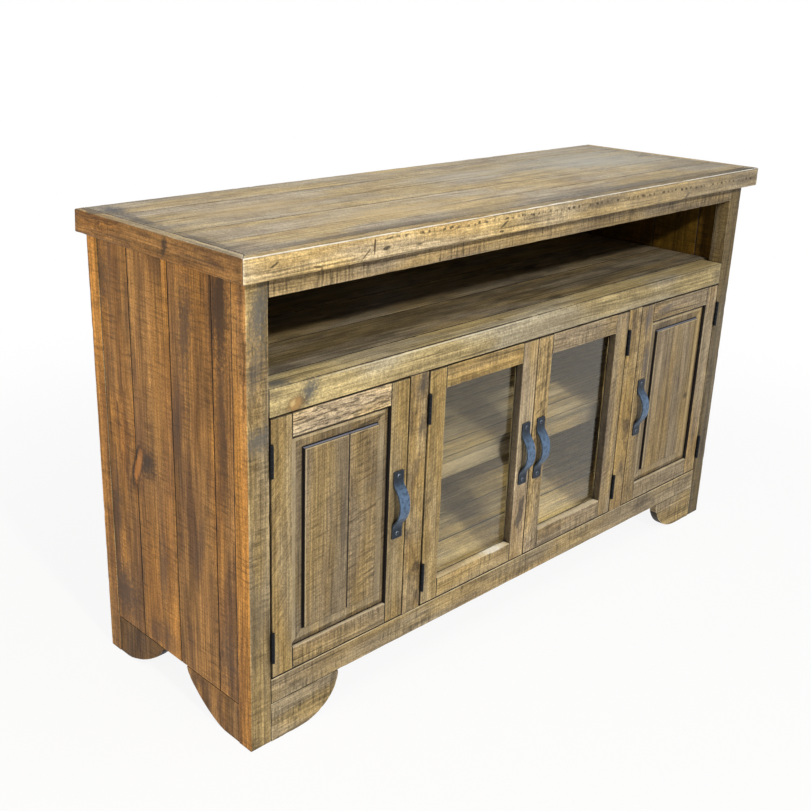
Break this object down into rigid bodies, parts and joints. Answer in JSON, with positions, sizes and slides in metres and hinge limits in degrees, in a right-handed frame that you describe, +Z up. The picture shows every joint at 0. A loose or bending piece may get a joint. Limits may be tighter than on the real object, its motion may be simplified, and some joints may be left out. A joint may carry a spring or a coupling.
{
  "type": "tv stand",
  "caption": "Rustic plank tv stand: open media bay over glazed and raised-panel doors on butt hinges, with iron strap handles and scrolled bracket feet.",
  "frame": {"origin": "on the floor under the middle of the top", "axes": "+X to the right seen from the front, +Y to the back (the doors face -Y), +Z up"},
  "size_m": [1.524, 0.486, 0.898],
  "materials": {
    "top_wood": "brushed stain under a satin lacquer",
    "edging_wood": "distressed and stained, satin lacquer",
    "frame_wood": "rough-sawn and stained, satin lacquer",
    "side_wood": "rough-sawn, warm brown stain",
    "door_wood": "rough-sawn and stained, satin lacquer",
    "panel_wood": "darker stain with black glaze in the mouldings",
    "inner_wood": "stained, matt",
    "black_iron": "blackened iron with a blue cast",
    "strike_steel": "zinc plated",
    "catch_plastic": "brown moulded body",
    "door_glass": "clear float glass"
  },
  "bodies": {
    "cabinet": {"top_planks": "top_wood", "top_edging_front": "edging_wood", "top_edging_left": "edging_wood", "top_edging_right": "edging_wood", "front_post_left": "frame_wood", "front_post_right": "frame_wood", "back_post_left": "frame_wood", "back_post_right": "frame_wood", "face_rail_top": "frame_wood", "face_rail_shelf": "frame_wood", "face_rail_bottom": "frame_wood", "mid_stiles": "frame_wood", "side_planks_left": "side_wood", "side_planks_right": "side_wood", "back_planks": "inner_wood", "back_plank_cable": "inner_wood", "media_shelf_planks": "inner_wood", "floor_planks": "inner_wood", "inner_shelf": "inner_wood", "carcass_cleats": "inner_wood", "front_feet": "frame_wood", "side_feet": "side_wood", "frame_hinge_leaves": "black_iron", "magnetic_catches": "catch_plastic"},
    "left_door": {"left_door_hinge_stile": "door_wood", "left_door_handle_stile": "door_wood", "left_door_rails": "door_wood", "left_door_handle": "black_iron", "left_door_handle_screws": "black_iron", "left_door_hinges": "black_iron", "left_door_strike": "strike_steel", "left_door_panel": "panel_wood"},
    "right_door": {"right_door_hinge_stile": "door_wood", "right_door_handle_stile": "door_wood", "right_door_rails": "door_wood", "right_door_handle": "black_iron", "right_door_handle_screws": "black_iron", "right_door_hinges": "black_iron", "right_door_strike": "strike_steel", "right_door_panel": "panel_wood"},
    "left_glass_door": {"left_glass_door_hinge_stile": "door_wood", "left_glass_door_handle_stile": "door_wood", "left_glass_door_rails": "door_wood", "left_glass_door_handle": "black_iron", "left_glass_door_handle_screws": "black_iron", "left_glass_door_hinges": "black_iron", "left_glass_door_strike": "strike_steel", "left_glass_door_glass": "door_glass", "left_glass_door_glass_beads": "door_wood"},
    "right_glass_door": {"right_glass_door_hinge_stile": "door_wood", "right_glass_door_handle_stile": "door_wood", "right_glass_door_rails": "door_wood", "right_glass_door_handle": "black_iron", "right_glass_door_handle_screws": "black_iron", "right_glass_door_hinges": "black_iron", "right_glass_door_strike": "strike_steel", "right_glass_door_glass": "door_glass", "right_glass_door_glass_beads": "door_wood"}
  },
  "joints": [
    {"name": "left_door_swing", "type": "hinge", "parent": "cabinet", "child": "left_door", "pos_m": [-0.6935, -0.2229, 0.3765], "axis": [0, 0, -1], "range_deg": [0, 165]},
    {"name": "right_door_swing", "type": "hinge", "parent": "cabinet", "child": "right_door", "pos_m": [0.6935, -0.2229, 0.3765], "axis": [0, 0, 1], "range_deg": [0, 165]},
    {"name": "left_glass_door_swing", "type": "hinge", "parent": "cabinet", "child": "left_glass_door", "pos_m": [-0.3205, -0.2229, 0.3765], "axis": [0, 0, -1], "range_deg": [0, 140]},
    {"name": "right_glass_door_swing", "type": "hinge", "parent": "cabinet", "child": "right_glass_door", "pos_m": [0.3205, -0.2229, 0.3765], "axis": [0, 0, 1], "range_deg": [0, 140]}
  ]
}
